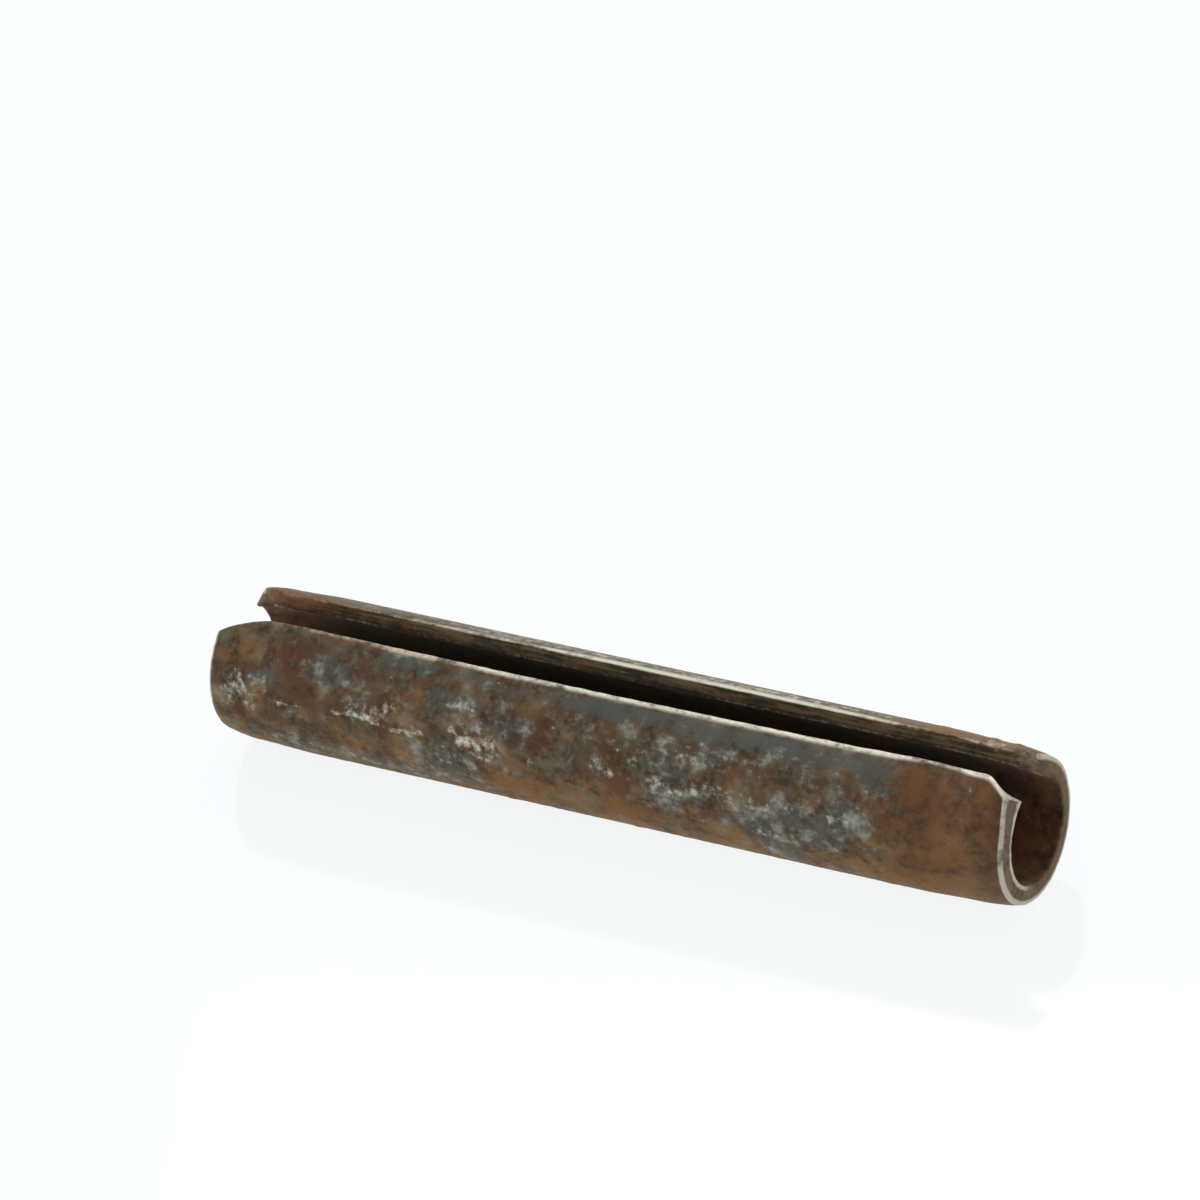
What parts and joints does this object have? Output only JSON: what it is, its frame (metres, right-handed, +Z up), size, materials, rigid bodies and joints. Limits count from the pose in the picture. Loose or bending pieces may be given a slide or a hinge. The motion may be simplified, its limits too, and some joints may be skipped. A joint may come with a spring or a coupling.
{
  "type": "slotted spring pin",
  "caption": "Rusted roll pin: a strip of spring steel rolled into an open tube with a slot along it and swaged ends, pressed into a drilled hole.",
  "frame": {"origin": "on the pin's axis at mid-length", "axes": "+X along the pin towards the end with the shorter lip bevels, +Z up through the middle of the slot"},
  "size_m": [0.036, 0.0064, 0.0063],
  "materials": {
    "rusted_spring_steel": "rusted"
  },
  "bodies": {
    "root": {"roll_pin": "rusted_spring_steel"}
  },
  "joints": []
}
